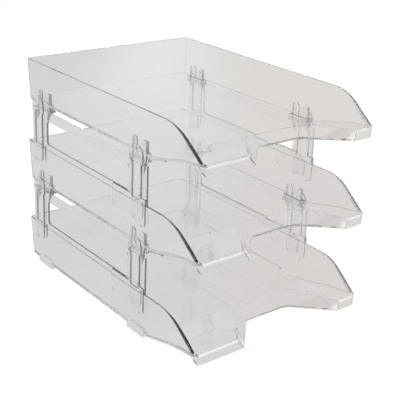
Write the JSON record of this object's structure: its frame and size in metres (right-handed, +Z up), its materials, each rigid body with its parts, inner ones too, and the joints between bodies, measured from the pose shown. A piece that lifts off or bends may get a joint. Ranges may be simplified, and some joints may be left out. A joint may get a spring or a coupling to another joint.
{
  "type": "stacking letter tray",
  "caption": "Stacked letter trays in clear plastic, front-loading with a finger notch, carried above each other by side riser frames.",
  "frame": {"origin": "on the desk, below the middle of the trays", "axes": "+Y towards the back of the trays, +X to the right seen from the front, +Z up"},
  "size_m": [0.2542, 0.357, 0.271],
  "materials": {
    "clear_tray": "clear moulded polystyrene, polished",
    "clear_riser": "clear moulded polystyrene, polished"
  },
  "bodies": {
    "tray_bottom": {"tray_bottom": "clear_tray"},
    "tray_middle": {"tray_middle": "clear_tray"},
    "tray_top": {"tray_top": "clear_tray"},
    "riser_lower_left": {"riser_lower_left": "clear_riser"},
    "riser_lower_right": {"riser_lower_right": "clear_riser"},
    "riser_upper_left": {"riser_upper_left": "clear_riser"},
    "riser_upper_right": {"riser_upper_right": "clear_riser"}
  },
  "joints": [
    {"name": "riser_lower_left_lift", "type": "slide", "parent": "tray_bottom", "child": "riser_lower_left", "axis": [0, 0, 1], "range_m": [0, 0.028]},
    {"name": "riser_lower_right_lift", "type": "slide", "parent": "tray_bottom", "child": "riser_lower_right", "axis": [0, 0, 1], "range_m": [0, 0.028]},
    {"name": "tray_middle_lift", "type": "slide", "parent": "riser_lower_left", "child": "tray_middle", "axis": [0, 0, 1], "range_m": [0, 0.024]},
    {"name": "riser_upper_left_lift", "type": "slide", "parent": "tray_middle", "child": "riser_upper_left", "axis": [0, 0, 1], "range_m": [0, 0.028]},
    {"name": "riser_upper_right_lift", "type": "slide", "parent": "tray_middle", "child": "riser_upper_right", "axis": [0, 0, 1], "range_m": [0, 0.028]},
    {"name": "tray_top_lift", "type": "slide", "parent": "riser_upper_left", "child": "tray_top", "axis": [0, 0, 1], "range_m": [0, 0.024]}
  ],
  "couplings": [
    {"joint": "riser_lower_right_lift", "follows": "riser_lower_left_lift", "ratio": 1},
    {"joint": "riser_upper_right_lift", "follows": "riser_upper_left_lift", "ratio": 1}
  ]
}
